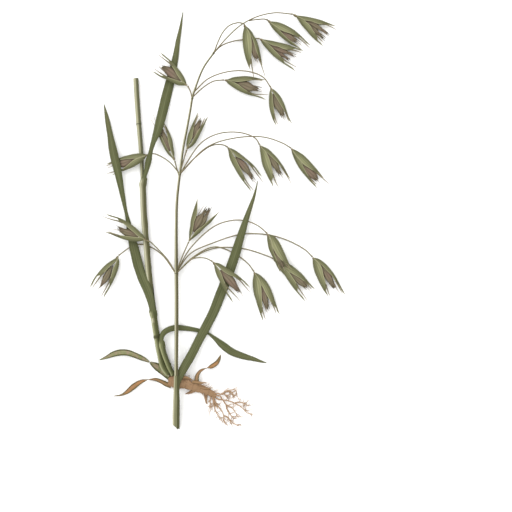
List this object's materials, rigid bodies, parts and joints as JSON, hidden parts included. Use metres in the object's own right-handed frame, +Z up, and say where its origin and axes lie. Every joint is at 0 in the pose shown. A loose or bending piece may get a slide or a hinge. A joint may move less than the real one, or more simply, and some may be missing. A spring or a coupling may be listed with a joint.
{
  "type": "wild oat plant",
  "caption": "Bare-rooted wild oat plant lying flat, with rhizome, leaves, cut culm and open nodding panicle of spikelets.",
  "frame": {"origin": "middle of the plant's outline, on the surface that it lies on", "axes": "+Y up the plant from roots to panicle, +X to the side that the panicle nods to, +Z up from the surface"},
  "size_m": [0.1951, 0.3197, 0.0116],
  "materials": {
    "stalk": "satin green-yellow straw",
    "leaf": "matt grey-green leaf",
    "basal_leaf": "matt faded olive leaf",
    "dry_leaf": "matt withered orange leaf",
    "rootstock": "matt papery brown",
    "glume": "satin papery green with pale margins",
    "floret": "matt mauve-brown"
  },
  "bodies": {
    "root": {"crown": "rootstock", "base_culm": "stalk", "leaf_low": "leaf", "leaf_high": "leaf", "leaf_arched": "leaf", "leaf_left": "basal_leaf", "leaf_dry": "dry_leaf", "leaf_stub": "dry_leaf", "leaf_flag": "leaf", "flowering_culm": "stalk", "spikelet_01_glumes": "glume", "spikelet_01_florets": "floret", "spikelet_02_glumes": "glume", "spikelet_02_florets": "floret", "spikelet_03_glumes": "glume", "spikelet_03_florets": "floret", "spikelet_04_glumes": "glume", "spikelet_04_florets": "floret", "spikelet_05_glumes": "glume", "spikelet_05_florets": "floret", "spikelet_06_glumes": "glume", "spikelet_06_florets": "floret", "spikelet_07_glumes": "glume", "spikelet_07_florets": "floret", "spikelet_08_glumes": "glume", "spikelet_08_florets": "floret", "spikelet_09_glumes": "glume", "spikelet_09_florets": "floret", "spikelet_10_glumes": "glume", "spikelet_10_florets": "floret", "spikelet_11_glumes": "glume", "spikelet_11_florets": "floret", "spikelet_12_glumes": "glume", "spikelet_12_florets": "floret", "spikelet_13_glumes": "glume", "spikelet_13_florets": "floret", "spikelet_14_glumes": "glume", "spikelet_14_florets": "floret", "spikelet_15_glumes": "glume", "spikelet_15_florets": "floret", "spikelet_16_glumes": "glume", "spikelet_16_florets": "floret", "spikelet_17_glumes": "glume", "spikelet_17_florets": "floret", "spikelet_18_glumes": "glume", "spikelet_18_florets": "floret", "spikelet_19_glumes": "glume", "spikelet_19_florets": "floret", "spikelet_20_glumes": "glume", "spikelet_20_florets": "floret", "spikelet_21_glumes": "glume", "spikelet_21_florets": "floret"}
  },
  "joints": []
}
